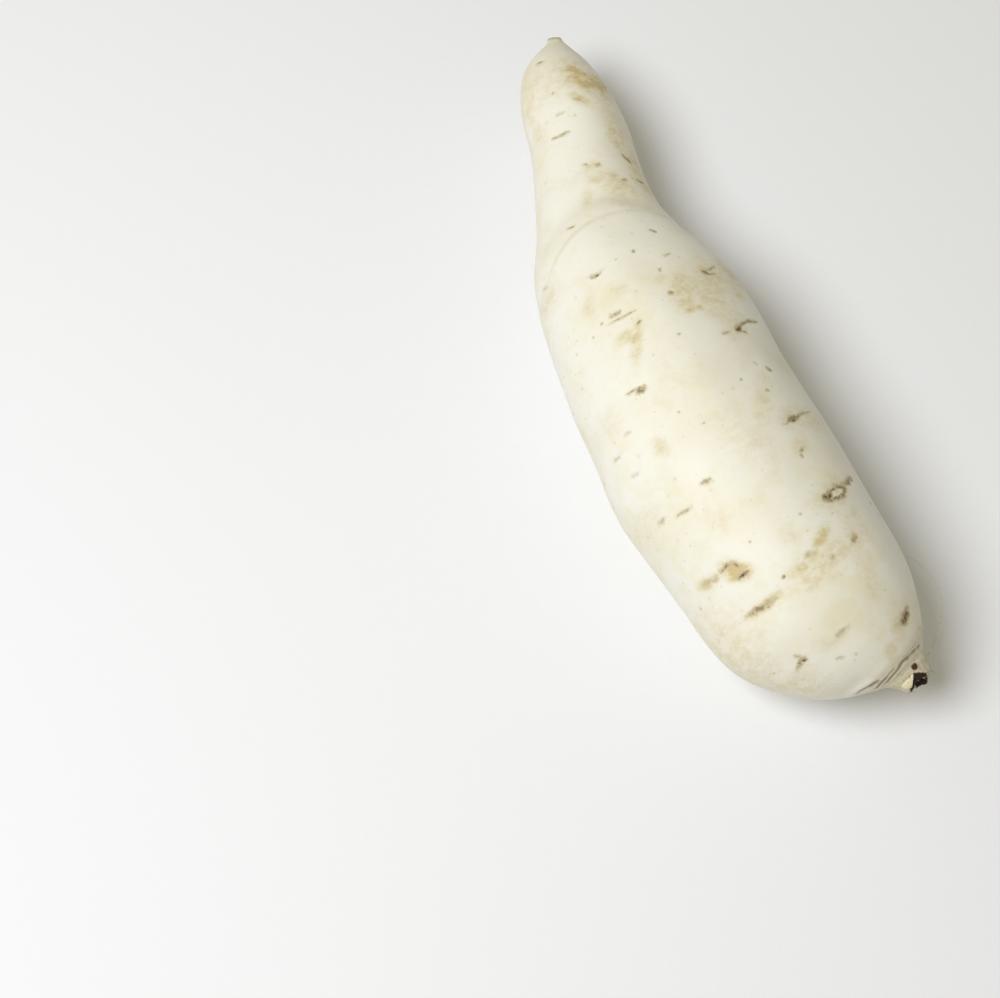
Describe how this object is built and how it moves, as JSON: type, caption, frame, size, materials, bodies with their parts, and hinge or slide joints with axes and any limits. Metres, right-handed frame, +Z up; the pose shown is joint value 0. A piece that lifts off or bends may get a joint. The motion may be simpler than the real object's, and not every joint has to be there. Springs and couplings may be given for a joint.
{
  "type": "white sweet potato",
  "caption": "Long tuber with creamy white skin, a narrow leaning neck at the root end and a short torn stem stump, lying on its side.",
  "frame": {"origin": "on the surface that the root lies on, under the middle of its bounding box", "axes": "+X along the belly from the root tip to the stem stump, +Z up, +Y towards the side that the neck and the stump lean to"},
  "size_m": [0.2138, 0.0614, 0.0574],
  "materials": {
    "cream_skin": null
  },
  "bodies": {
    "root": {"sweet_potato": "cream_skin"}
  },
  "joints": []
}
